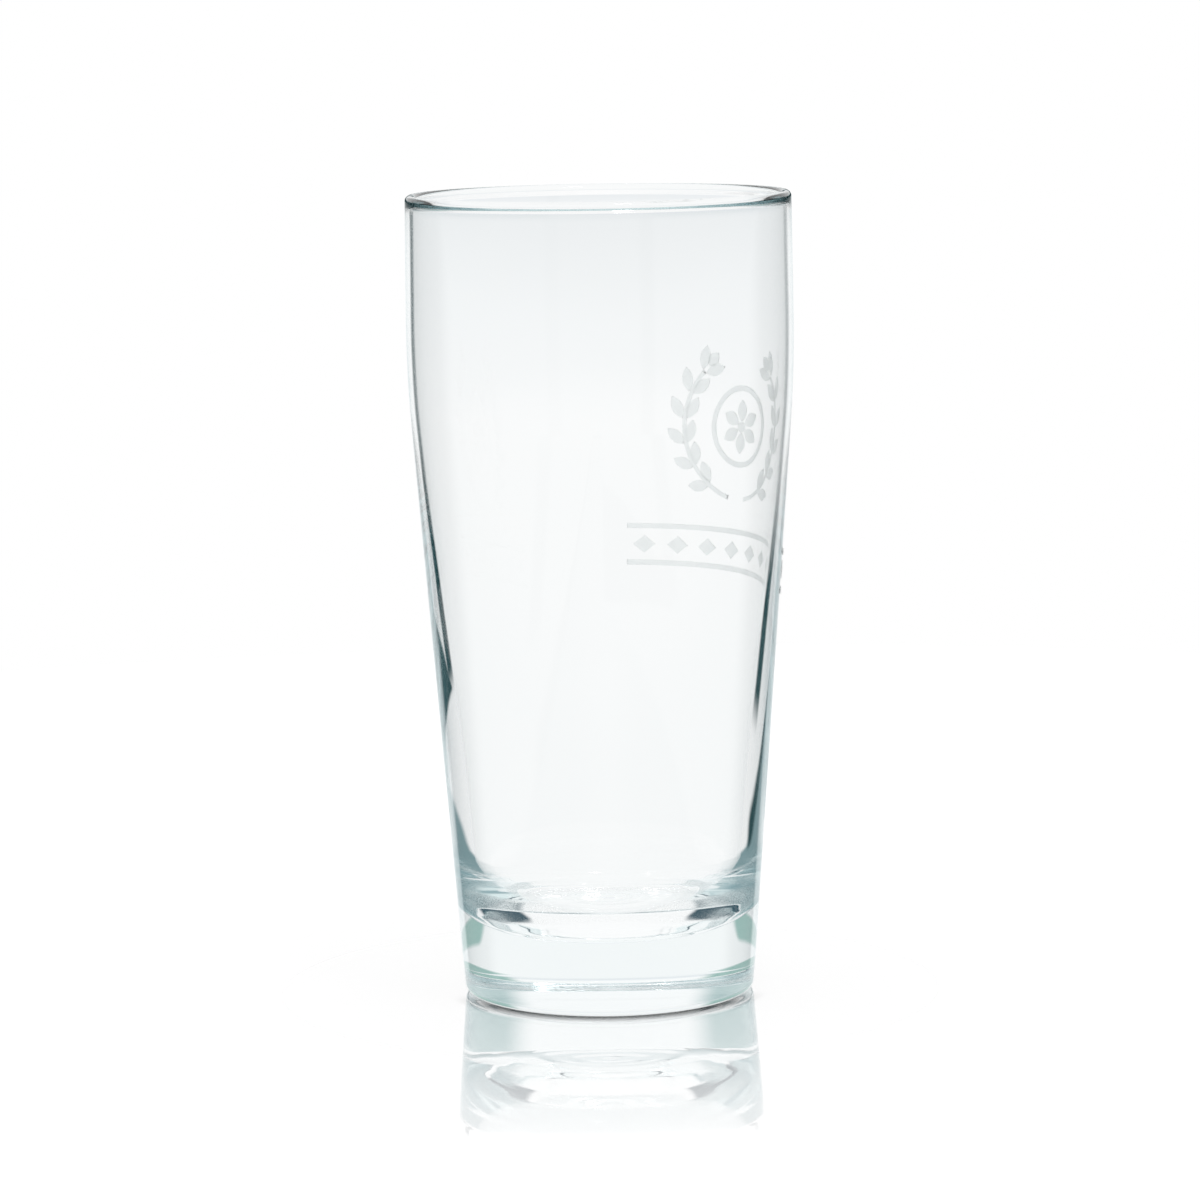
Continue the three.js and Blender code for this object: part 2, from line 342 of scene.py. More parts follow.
def joined(surfaces):
    """Several surfaces as one list of vertices and one of faces."""
    starts = np.cumsum([0] + [len(vertices) for vertices, _ in surfaces[:-1]])
    faces = [[int(start) + corner for corner in face]
             for start, (_, part) in zip(starts, surfaces) for face in part]
    return np.concatenate([vertices for vertices, _ in surfaces]), faces


def add_object(name, data):
    """A new object in the scene."""
    made = bpy.data.objects.new(name, data)
    bpy.context.scene.collection.objects.link(made)
    return made


def add_piece(name, surface, material, node):
    """Puts a surface into a smooth mesh object that rides on the body and stands for its solid."""
    vertices, faces = surface
    mesh = bpy.data.meshes.new(name)
    mesh.from_pydata(vertices, [], faces)
    mesh.polygons.foreach_set("use_smooth", np.ones(len(mesh.polygons), dtype=bool))
    mesh.materials.append(material)
    mesh.update()
    if mesh.validate():
        raise RuntimeError(f"{name} has faulty faces")
    piece = add_object(name, mesh)
    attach(piece, BODY)
    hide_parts(node)


def enamel_section():
    """Section of an enamel stroke: a rounded box, cosine and sine each raised to a small power.

    Returns the place across, from -1 to 1, and the share of the layer's thickness, from 0 to 1.
    """
    turn = np.linspace(0, 2 * math.pi, STROKE_SECTION_STEPS, endpoint=False) + math.pi / STROKE_SECTION_STEPS
    across = np.sign(np.cos(turn)) * np.abs(np.cos(turn)) ** STROKE_SQUARENESS
    rise = np.sign(np.sin(turn)) * np.abs(np.sin(turn)) ** STROKE_SQUARENESS
    return across, (rise + 1) / 2


def wrapped(glass, motif, flat, depth):
    """Flat places and depths laid on the wall: sideways becomes arc length, upwards becomes height."""
    z = motif.height + flat[..., 1]
    radius = outer_radius(glass, z) + depth
    turn = motif.azimuth + flat[..., 0] / outer_radius(glass, motif.height)
    return np.stack([radius * np.cos(turn), radius * np.sin(turn), z], axis=-1)


def stroke(glass, motif, path, half_width, fullness=1.0, closed=False):
    """An enamel stroke: the rounded section carried along a flat path, as wide as half_width says, wrapped.

    Each station's section lies across the path's direction, which comes from the neighbouring points.
    """
    if closed:
        along = np.roll(path, -1, axis=0) - np.roll(path, 1, axis=0)
    else:
        along = np.gradient(path, axis=0)
    along = along / np.linalg.norm(along, axis=1, keepdims=True)
    left = np.stack([-along[:, 1], along[:, 0]], axis=1)
    across, rise = enamel_section()
    reach = (half_width[:, None] * across[None, :])[..., None]
    flat = path[:, None, :] + reach * left[:, None, :]
    depth = np.broadcast_to(motif.gap + rise * motif.thickness * fullness, flat.shape[:2])
    rings = wrapped(glass, motif, flat, depth)
    if closed:
        return rings.reshape(-1, 3), ring_quads(len(path), STROKE_SECTION_STEPS, wraps=True).tolist()
    ends = wrapped(glass, motif, path[[0, -1]], np.full(2, motif.gap + motif.thickness * fullness / 2))
    return capped(rings, ends[0], ends[1])


def leaf(glass, motif, base, direction, start, end, width):
    """A pointed leaf along a line, from start to end: a stroke of half width 2 t (1 - t) times its width."""
    t = np.linspace(SHORT_OF_TIP, 1 - SHORT_OF_TIP, LEAF_STEPS)
    way = start + t * (end - start)
    path = base + way[:, None] * np.array([math.cos(direction), math.sin(direction)])
    return stroke(glass, motif, path, 2 * t * (1 - t) * width)


def on_wreath(motif, turn):
    """Flat place on the wreath's circle."""
    across = motif.wreath_radius * math.cos(turn)
    return np.array([across, motif.wreath_rise + motif.wreath_radius * math.sin(turn)])


def ear_surface(glass, motif):
    """The right ear: a stem along the wreath, grains in slanted pairs on it and one at its tip."""
    stem_end = motif.wreath_end + motif.stem_width / motif.wreath_radius
    stem_path = arc(0, motif.wreath_rise, motif.wreath_radius, motif.wreath_start, stem_end, STEM_STEPS)
    stem_half = np.full(STEM_STEPS, motif.stem_width / 2)
    parts = [stroke(glass, motif, stem_path, stem_half, fullness=STEM_FULLNESS)]
    nodes = np.linspace(motif.wreath_start, motif.wreath_end, motif.grain_pairs + 1)[1:]
    slants = (-motif.grain_slant, motif.grain_slant)
    grains = [(turn, slant, motif.grain_start) for turn in nodes for slant in slants]
    grains.append((nodes[-1], 0, motif.bud_start))
    for turn, slant, start in grains:
        growth = turn + math.pi / 2 + slant
        base = on_wreath(motif, turn)
        parts.append(leaf(glass, motif, base, growth, start, motif.grain_length, motif.grain_width))
    return joined(parts)


def mirrored(motif, surface):
    """The same print on the other side of the print's centre line, with its faces turned round again."""
    vertices, faces = surface
    turn = 2 * motif.azimuth - np.arctan2(vertices[:, 1], vertices[:, 0])
    radius = np.hypot(vertices[:, 0], vertices[:, 1])
    flipped = np.stack([radius * np.cos(turn), radius * np.sin(turn), vertices[:, 2]], axis=1)
    return flipped, [face[::-1] for face in faces]


def roundel_surface(glass, motif):
    """The ring: a stroke of one width round a circle."""
    middle = motif.roundel_radius - motif.roundel_width / 2
    path = arc(0, motif.wreath_rise, middle, 0, 2 * math.pi, RING_STEPS + 1)[:-1]
    return stroke(glass, motif, path, np.full(RING_STEPS, motif.roundel_width / 2), closed=True)


def rosette_surface(glass, motif):
    """The rosette: leaves round a disc, whose half width is a half circle's."""
    centre = np.array([0, motif.wreath_rise])
    side = np.sin(np.linspace(-1, 1, EYE_STEPS) * (1 - SHORT_OF_TIP) * math.pi / 2)
    eye_path = centre + motif.eye_radius * np.stack([side, np.zeros(EYE_STEPS)], axis=1)
    eye_half = motif.eye_radius * np.sqrt(1 - side ** 2)
    parts = [stroke(glass, motif, eye_path, eye_half, fullness=EYE_FULLNESS)]
    for turn in np.linspace(0, 2 * math.pi, motif.petal_count, endpoint=False):
        growth = math.pi / 2 + turn
        start, end = motif.eye_radius, motif.petal_length
        parts.append(leaf(glass, motif, centre, growth, start, end, motif.petal_width))
    return joined(parts)


def band_surface(glass, motif, side):
    """A stripe: a stroke of one width along a level line."""
    across = np.linspace(-motif.band_length / 2, motif.band_length / 2, BAND_STEPS)
    rise = motif.band_rise + side * motif.band_spacing / 2
    path = np.stack([across, np.full(BAND_STEPS, rise)], axis=1)
    return stroke(glass, motif, path, np.full(BAND_STEPS, motif.band_width / 2))


def lozenge_surface(glass, motif, index):
    """A lozenge: a level stroke whose half width grows evenly to the middle and shrinks again."""
    pitch = motif.band_length / motif.lozenge_count
    middle = (index - (motif.lozenge_count - 1) / 2) * pitch
    t = np.linspace(-1, 1, LOZENGE_STEPS) * (1 - SHORT_OF_TIP)
    across = middle + t * motif.lozenge_length / 2
    path = np.stack([across, np.full(LOZENGE_STEPS, motif.band_rise)], axis=1)
    return stroke(glass, motif, path, (1 - np.abs(t)) * motif.lozenge_height / 2)


def add_node(tree, kind, inputs=None, **settings):
    """A new shader node. An input is a value for its socket, or another node's socket to link from."""
    made = tree.nodes.new("ShaderNode" + kind)
    for name, value in settings.items():
        setattr(made, name, value)
    for socket, value in (inputs or {}).items():
        if isinstance(value, bpy.types.NodeSocket):
            tree.links.new(value, made.inputs[socket])
        else:
            made.inputs[socket].default_value = value
    return made


def calculate(tree, operation, *values):
    """Output of a Math node on one to three values or sockets."""
    return add_node(tree, "Math", dict(enumerate(values)), operation=operation).outputs[0]


def eased(tree, value, low, high, low_result, high_result):
    """Output of a smooth Map Range node."""
    inputs = {"Value": value, "From Min": low, "From Max": high, "To Min": low_result, "To Max": high_result}
    return add_node(tree, "MapRange", inputs, interpolation_type="SMOOTHSTEP").outputs["Result"]


def chosen(tree, factor, first, second):
    """Output of a number Mix node: the first at 0 and the second at 1."""
    return add_node(tree, "Mix", {0: factor, 2: first, 3: second}, data_type="FLOAT").outputs[0]


def mixed(tree, factor, first, second):
    """Output of a colour Mix node, whose colour sockets are its seventh and eighth."""
    return add_node(tree, "Mix", {0: factor, 6: first, 7: second}, data_type="RGBA").outputs[2]


def fade_in(tree, value, span):
    """0 up to the span's start and 1 from its end, eased between them."""
    return eased(tree, value, *span, 0.0, 1.0)


def fade_out(tree, value, span):
    """1 up to the span's start and 0 from its end, eased between them."""
    return eased(tree, value, *span, 1.0, 0.0)


def product(tree, first, *others):
    """Output of the Math nodes that multiply all the values."""
    for other in others:
        first = calculate(tree, "MULTIPLY", first, other)
    return first


def opaque(colour):
    """A colour property as a node colour."""
    return (*colour, 1.0)


def new_material(name):
    """An empty node material with its output node."""
    material = bpy.data.materials.new(name)
    material.use_nodes = True
    tree = material.node_tree
    tree.nodes.clear()
    return material, tree, tree.nodes.new("ShaderNodeOutputMaterial")


WORN_HEIGHT = 0.3 * MM
WORN_ROUGHNESS = 0.5


def clear_glass(finish):
    """Soda-lime glass: it refracts, takes on a teal tint with depth, and is ground where it stands."""
    material, tree, output = new_material("soda_lime_glass")
    place = add_node(tree, "TexCoord").outputs["Object"]
    z = add_node(tree, "SeparateXYZ", {0: place}).outputs["Z"]
    grain = add_node(tree, "TexNoise", {"Vector": place, "Scale": 1500.0, "Detail": 2.0}).outputs["Fac"]
    worn = product(tree, eased(tree, z, 0.0, WORN_HEIGHT, WORN_ROUGHNESS, 0.0), grain)
    cords = add_node(tree, "TexNoise", {"Vector": place, "Scale": 60.0, "Detail": 1.0}).outputs["Fac"]
    bump = add_node(tree, "Bump", {"Height": cords, "Strength": 0.03, "Distance": 0.5 * MM})
    shader = add_node(tree, "BsdfPrincipled", {
        "Base Color": (1, 1, 1, 1),
        "IOR": 1.52,
        "Transmission Weight": 1.0,
        "Roughness": worn,
        "Normal": bump.outputs["Normal"],
    })
    depth = add_node(tree, "VolumeAbsorption", {
        "Color": opaque(finish.glass_tint),
        "Density": finish.glass_density,
    })
    tree.links.new(shader.outputs[0], output.inputs["Surface"])
    tree.links.new(depth.outputs[0], output.inputs["Volume"])
    return material


PINHOLE_EDGE = (0.08, 0.2)
MOTTLE_SPAN = (0.3, 0.7)
MOTTLE_ROUGHNESS = (0.62, 0.48)


def pale_enamel(finish):
    """Fired screen-print enamel: pale, frosted, mottled where the layer thins, with fine pinholes."""
    material, tree, output = new_material(ENAMEL_MATERIAL)
    place = add_node(tree, "TexCoord").outputs["Object"]
    mottle = add_node(tree, "TexNoise", {"Vector": place, "Scale": 700.0, "Detail": 4.0}).outputs["Fac"]
    cells = add_node(tree, "TexVoronoi", {"Vector": place, "Scale": 1400.0}).outputs["Distance"]
    pinholes = fade_out(tree, cells, PINHOLE_EDGE)
    full = mixed(tree, mottle, opaque(finish.enamel_thin), opaque(finish.enamel_pale))
    colour = mixed(tree, pinholes, full, opaque(finish.enamel_thin))
    relief = calculate(tree, "SUBTRACT", mottle, pinholes)
    bump = add_node(tree, "Bump", {"Height": relief, "Strength": 0.2, "Distance": 0.1 * MM})
    shader = add_node(tree, "BsdfPrincipled", {
        "Base Color": colour,
        "IOR": 1.35,
        "Transmission Weight": 0.95,
        "Roughness": eased(tree, mottle, *MOTTLE_SPAN, *MOTTLE_ROUGHNESS),
        "Normal": bump.outputs["Normal"],
    })
    tree.links.new(shader.outputs[0], output.inputs["Surface"])
    return material


def at_least(tree, depth, count):
    """1 for rays with that many crossings, reflections or scatterings behind them, or more."""
    return calculate(tree, "GREATER_THAN", depth, count - 0.5)


def fewer_than(tree, depth, count):
    """1 for rays with fewer crossings, reflections or scatterings behind them."""
    return calculate(tree, "LESS_THAN", depth, count - 0.5)


def crossed_twice(tree, crossings):
    """1 for rays that have gone into the glass and out of it again, once each."""
    return calculate(tree, "COMPARE", crossings, 2.0, 0.5)


def shown_directly(tree, path):
    """1 for rays from the camera, a gloss or a glass, unless a matt surface scattered them on the way."""
    rays = [path.outputs[name] for name in ("Is Camera Ray", "Is Glossy Ray", "Is Transmission Ray")]
    either = calculate(tree, "MAXIMUM", rays[0], rays[1])
    unscattered = fewer_than(tree, path.outputs["Diffuse Depth"], 1)
    return product(tree, calculate(tree, "MAXIMUM", either, rays[2]), unscattered)


def new_group(name, given):
    """A node group with one vector input and one colour output: the group and its input's socket."""
    group = bpy.data.node_groups.new(name, "ShaderNodeTree")
    group.interface.new_socket(given, in_out="INPUT", socket_type="NodeSocketVector")
    group.interface.new_socket("Color", in_out="OUTPUT", socket_type="NodeSocketColor")
    return group, group.nodes.new("NodeGroupInput").outputs[given]


def add_group(tree, group, given):
    """A node group in another tree, for a place or a direction."""
    made = tree.nodes.new("ShaderNodeGroup")
    made.node_tree = group
    tree.links.new(given, made.inputs[0])
    return made.outputs["Color"]


def off_axis(tree, x, y):
    """Angle in degrees between a level direction and the Y axis, either way, from 0 to 90."""
    sideways = calculate(tree, "ABSOLUTE", x)
    return calculate(tree, "DEGREES", calculate(tree, "ARCTAN2", sideways, calculate(tree, "ABSOLUTE", y)))


def on_table(tree, place):
    """A place's x and y, degrees off the Y axis, distance from the foot's middle, and y over distance."""
    axes = add_node(tree, "SeparateXYZ", {0: place})
    x, y = axes.outputs["X"], axes.outputs["Y"]
    radius = add_node(tree, "VectorMath", {0: place}, operation="LENGTH").outputs["Value"]
    return x, y, off_axis(tree, x, y), radius, calculate(tree, "DIVIDE", y, radius)


def blended(tree, factor, first, second):
    """A Mix Shader node: the first shader at 0 and the second at 1."""
    return add_node(tree, "MixShader", {0: factor, 1: first.outputs[0], 2: second.outputs[0]})


WHITE = (1.0, 1.0, 1.0, 1.0)
BLACK = (0.0, 0.0, 0.0, 1.0)

# Painted shade on the table, shown only to light that inner reflections have bent. Lengths are distances
# from the middle of the foot. Angles are degrees off the Y axis. An edge is a length for each degree and
# the length on the axis. Fronts and backs are y over distance. Two values for the two sides are right, then
# left.
FRONT_TO_BACK = (-0.2, 0.2)
SWING_REACH = 100 * MM
SWING_POWER = 1.55
SWING_ANGLE = 57.0
STRIPE_ANGLE = 28.5
STRIPE_SIDES = (2.5, 6.0)
STRIPE_STARTS = (200 * MM, 222 * MM)
STRIPE_ONSET = (-12 * MM, 12 * MM)
STRIPE_FADE = (280 * MM, 500 * MM)
STRIPE_FAR_SHARES = (0.55, 1.0)
STREAK_REACH = 150 * MM
STREAK_ANGLE = 50.0
STREAK_LEAST_ANGLE = 5.0
STREAK_POWER = 0.513
STREAK_SIDES = (3 * MM, 14 * MM)
STREAK_END = (47.0, 54.0)
POOL_EDGE = (-1.3 * MM, 215 * MM)
POOL_START = (45 * MM, 60 * MM)
POOL_END = (-5 * MM, 3 * MM)
POOL_SIDES = (0.0, 26.0)
POOL_PALE = (0.8, 0.84, 0.85, 1.0)
WEDGE_EDGE = (-2.96 * MM, 356 * MM)
WEDGE_START = (214 * MM, 220 * MM)
WEDGE_END = (-8 * MM, 4 * MM)
FOOT_SHADE_FRONT = (-0.5, -0.38)
FOOT_SHADE_BACKS = (0.7, 0.45)
FOOT_SHADE_FADE = (0.0, 0.15)
FOOT_SHADE_INSIDE = (21.5 * MM, 23.5 * MM)
FOOT_SHADE_OUTSIDE = (36 * MM, 40 * MM)


def painted_bent_view(stage):
    """Node group of the shade painted on the table for light that an inner reflection has bent.

    Near the foot lies a painted grey pool, paler towards the Y axis. Farther out the table is white, with a
    painted dark wedge on one side of the axis, a dark streak along the pool on the other, and on both a dark
    stripe that swings outwards near the foot. All these are fainter on the front half. Under the foot the
    table is white, with one patch of painted shade on each side. The camera sees none of this on the floor.
    white, with one dark mark on each side.
    """
    group, place = new_group("painted_bent_view", "Place")
    x, y, off, radius, behind = on_table(group, place)
    is_left = calculate(group, "LESS_THAN", product(group, x, y), 0.0)
    strength = eased(group, behind, *FRONT_TO_BACK, stage.front_strength, 1.0)

    # Painted shade: a dark stripe on both sides, a dark streak on one and a dark wedge on the other.
    swing = calculate(group, "POWER", calculate(group, "DIVIDE", SWING_REACH, radius), SWING_POWER)
    stripe_angle = calculate(group, "MULTIPLY_ADD", swing, SWING_ANGLE, STRIPE_ANGLE)
    from_stripe = calculate(group, "ABSOLUTE", calculate(group, "SUBTRACT", off, stripe_angle))
    past_start = calculate(group, "SUBTRACT", radius, chosen(group, is_left, *STRIPE_STARTS))
    stripe = product(
        group,
        fade_out(group, from_stripe, STRIPE_SIDES),
        fade_in(group, past_start, STRIPE_ONSET),
        eased(group, radius, *STRIPE_FADE, 1.0, chosen(group, is_left, *STRIPE_FAR_SHARES)),
    )

    streak_angle = calculate(group, "MAXIMUM", off, STREAK_LEAST_ANGLE)
    closeness = calculate(group, "DIVIDE", STREAK_ANGLE, streak_angle)
    streak_middle = product(group, calculate(group, "POWER", closeness, STREAK_POWER), STREAK_REACH)
    from_streak = calculate(group, "ABSOLUTE", calculate(group, "SUBTRACT", radius, streak_middle))
    streak = product(group, fade_out(group, from_streak, STREAK_SIDES), fade_out(group, off, STREAK_END))

    # Painted shade: a grey pool near the foot, paler towards the Y axis.
    left_edge = calculate(group, "MULTIPLY_ADD", off, *POOL_EDGE)
    past_pool = calculate(group, "SUBTRACT", radius, chosen(group, is_left, streak_middle, left_edge))
    pool = product(group, fade_in(group, radius, POOL_START), fade_out(group, past_pool, POOL_END), strength)
    pool_grey = mixed(group, fade_in(group, off, POOL_SIDES), POOL_PALE, opaque(stage.painted_pool_grey))

    wedge_edge = calculate(group, "MULTIPLY_ADD", off, *WEDGE_EDGE)
    past_wedge = calculate(group, "SUBTRACT", radius, wedge_edge)
    wedge = product(group, fade_in(group, radius, WEDGE_START), fade_out(group, past_wedge, WEDGE_END))
    dark = calculate(group, "MAXIMUM", stripe, chosen(group, is_left, streak, wedge))

    # Painted shade: one dark patch under the foot on each side.
    on_left = calculate(group, "LESS_THAN", x, 0.0)
    past_foot_shade = calculate(group, "SUBTRACT", behind, chosen(group, on_left, *FOOT_SHADE_BACKS))
    foot_shade = product(
        group,
        fade_in(group, behind, FOOT_SHADE_FRONT),
        fade_out(group, past_foot_shade, FOOT_SHADE_FADE),
        fade_in(group, radius, FOOT_SHADE_INSIDE),
        fade_out(group, radius, FOOT_SHADE_OUTSIDE),
    )
    # The painted shade laid over the white table, fainter in front.
    table = mixed(group, pool, WHITE, pool_grey)
    table = mixed(group, foot_shade, table, opaque(stage.slate))
    table = mixed(group, product(group, dark, strength), table, opaque(stage.painted_reflection_dark))
    group.links.new(table, group.nodes.new("NodeGroupOutput").inputs["Color"])
    return group


# Tones of the sweep that glass shows, from straight down at 0 over the horizon at 0.5 to straight up at 1.
# The dimming at the horizon is painted shade: the camera sees plain white.
SWEEP_STOPS = (
    (0.0, (0.96, 0.97, 0.97)),
    (0.447, (0.96, 0.97, 0.97)),
    (0.472, (0.90, 0.92, 0.93)),
    (0.5, (0.82, 0.85, 0.87)),
    (0.52, (0.85, 0.88, 0.90)),
    (0.56, (1.0, 1.0, 1.0)),
)

# The surround that glass and gloss show, with painted shade and painted reflections. Sides are degrees off
# the Y axis, and other spans are parts of a unit direction: fronts and backs along Y, the rest along Z. A
# direction below the horizon stands for this place on the table.
FAR_TABLE = 5.0
SKY = (0.05, 0.15)
FOOT_SIDES = (27.0, 36.0)
FOOT_LOW = (-0.03, 0.0)
FOOT_HIGH = (0.36, 0.46)
SIDE_GREY_SIDES = (22.0, 38.0)
SIDE_GREY_HIGH = (0.45, 0.65)
PAINTED_SIDE_GREY = (0.45, 0.58, 0.58, 1.0)
FOURTH_SIDES = (4.0, 12.0)
FOURTH_LOW = (-0.25, 0.0)
FOURTH_PALE = (0.95, 0.98, 0.98, 1.0)
SWIRL_COUNT = 3.0
SWIRL_SHARE = 0.3
SWIRL_HEIGHT = (0.0, 0.8)
RETURN_SHARE = 0.35
RETURN_FRONT = (-0.4, -0.25)
RETURN_LOW = (0.35, 0.5)
OVERHEAD = (0.75, 0.88)
PAINTED_BAND_SIDES = (28.0, 35.0)
PAINTED_BAND_BACK = (0.1, 0.4)
PAINTED_BAND_PALE = (0.92, 0.96, 0.97, 1.0)
SKYLINE = (0.03, 0.06)
HORIZON = (-0.02, 0.05)
PAINTED_LOW_GREY = (0.72, 0.77, 0.78, 1.0)


def painted_surround(stage, bent):
    """Node group of what a direction shows to glass and gloss: painted reflections that depend on the ray's
    reflections and crossings.

    Straight through the glass: a white sweep with painted shade at the horizon, and painted green at the
    sides for the solid foot. After one to three inner reflections: the painted bent view, with white above
    it and at
    first painted grey sides. After four: painted slate, but pale straight behind and low down. After more: a
    painted swirl of dark and pale, darker high in front and white overhead. In the outside's own reflection:
    a painted pale band behind the glass, painted dark past its ends and along the skyline, under a white
    sky. In
    any other: white over painted grey below the horizon.
    """
    group, given = new_group("painted_surround", "Direction")
    unit = add_node(group, "VectorMath", {0: given}, operation="NORMALIZE").outputs["Vector"]
    axes = add_node(group, "SeparateXYZ", {0: unit})
    x, y, z = axes.outputs["X"], axes.outputs["Y"], axes.outputs["Z"]
    path = add_node(group, "LightPath")
    reflections, crossings = path.outputs["Glossy Depth"], path.outputs["Transmission Depth"]
    off = off_axis(group, x, y)
    above = fade_in(group, z, SKY)
    steep = calculate(group, "ABSOLUTE", z)
    twice_through = crossed_twice(group, crossings)

    # Painted shade: the sweep that straight-through light meets dims at the horizon.
    ramp = add_node(group, "ValToRGB", {"Fac": calculate(group, "MULTIPLY_ADD", z, 0.5, 0.5)})
    stops = ramp.color_ramp.elements
    while len(stops) < len(SWEEP_STOPS):
        stops.new(0.5)
    for stop, (position, colour) in zip(stops, SWEEP_STOPS):
        stop.position = position
        stop.color = opaque(colour)
    # Painted shade: green at the sides of the solid foot, for light straight through it.
    foot_side = product(
        group,
        fade_in(group, off, FOOT_SIDES),
        fade_in(group, z, FOOT_LOW),
        fade_out(group, z, FOOT_HIGH),
        twice_through,
    )
    straight = mixed(group, foot_side, ramp.outputs["Color"], opaque(stage.painted_foot_green))

    level = add_node(group, "VectorMath", {0: unit, 1: (1, 1, 0)}, operation="MULTIPLY").outputs["Vector"]
    far = add_node(group, "VectorMath", {0: level, "Scale": FAR_TABLE}, operation="SCALE").outputs["Vector"]
    # Painted shade: grey at the sides above the bent view, after one inner reflection.
    side_grey_share = product(
        group,
        fade_in(group, off, SIDE_GREY_SIDES),
        fade_out(group, z, SIDE_GREY_HIGH),
        fewer_than(group, reflections, 2),
    )
    bent_high = mixed(group, side_grey_share, WHITE, PAINTED_SIDE_GREY)
    reflected = mixed(group, above, add_group(group, bent, far), bent_high)

    turn = calculate(group, "ABSOLUTE", calculate(group, "DEGREES", calculate(group, "ARCTAN2", x, y)))
    # Painted reflection: slate after four inner reflections, pale straight behind and low down.
    fourth_dark = product(group, fade_in(group, turn, FOURTH_SIDES), fade_in(group, z, FOURTH_LOW))
    fourth = mixed(group, fourth_dark, FOURTH_PALE, opaque(stage.slate))

    # Painted reflection: a swirl of dark and pale after more inner reflections, darker high in front.
    way_round = product(group, calculate(group, "ARCTAN2", y, x), SWIRL_COUNT)
    swirl = calculate(group, "MULTIPLY_ADD", calculate(group, "COSINE", way_round), SWIRL_SHARE, steep)
    breaks = fade_in(group, swirl, SWIRL_HEIGHT)
    deep = mixed(group, breaks, opaque(stage.deep_dark), opaque(stage.deep_pale))
    returning = product(group, fade_out(group, y, RETURN_FRONT), fade_in(group, z, RETURN_LOW), RETURN_SHARE)
    deep = mixed(group, returning, deep, opaque(stage.slate))
    deep = mixed(group, fade_in(group, z, OVERHEAD), deep, WHITE)

    # Painted reflection in the outside: a pale band behind the glass, dark past its ends and at the skyline.
    painted_band_end = product(group, fade_in(group, off, PAINTED_BAND_SIDES), fade_in(group, y, PAINTED_BAND_BACK))
    painted_band_dark = calculate(group, "MAXIMUM", painted_band_end, fade_out(group, steep, SKYLINE))
    outer_low = mixed(group, painted_band_dark, PAINTED_BAND_PALE, opaque(stage.painted_reflection_dark))
    outer = mixed(group, above, outer_low, WHITE)
    # Painted shade: grey below the horizon in any other reflection.
    gloss = mixed(group, fade_in(group, z, HORIZON), PAINTED_LOW_GREY, WHITE)

    inner = mixed(group, at_least(group, reflections, 5), fourth, deep)
    inner = mixed(group, at_least(group, reflections, 4), reflected, inner)
    returned = mixed(group, twice_through, gloss, inner)
    returned = mixed(group, fewer_than(group, crossings, 1), returned, outer)
    found = mixed(group, at_least(group, reflections, 1), straight, returned)
    group.links.new(found, group.nodes.new("NodeGroupOutput").inputs["Color"])
    return group


def studio_world(stage, group):
    """World: white for the camera, the painted surround for gloss and glass, and even light for matt
    surfaces.
    """
    world = bpy.data.worlds.new("studio")
    world.use_nodes = True
    tree = world.node_tree
    tree.nodes.clear()
    path = add_node(tree, "LightPath")
    seen = add_group(tree, group, add_node(tree, "TexCoord").outputs["Generated"])
    backdrop = mixed(tree, path.outputs["Is Camera Ray"], seen, WHITE)
    even = (stage.ambient, stage.ambient, stage.ambient, 1.0)
    colour = mixed(tree, shown_directly(tree, path), even, backdrop)
    background = add_node(tree, "Background", {"Color": colour, "Strength": 1.0})
    output = tree.nodes.new("ShaderNodeOutputWorld")
    tree.links.new(background.outputs[0], output.inputs["Surface"])
    return world


# Painted shade on the floor, in the same terms as the painted shade on the table.
SHADOW_FRONT = (-0.65, -0.15)
MATT_GREY = (0.6, 0.6, 0.6, 1.0)
HEEL_IMAGE_END = (37 * MM, 45 * MM)
PATCH_START = (100 * MM, 120 * MM)
PATCH_END = (190 * MM, 210 * MM)
PATCH_SIDES = (34.0, 38.0)
WISP_START = (40 * MM, 43 * MM)
WISP_EDGE = (0.55 * MM, 41 * MM)
WISP_END = (-1 * MM, 2 * MM)


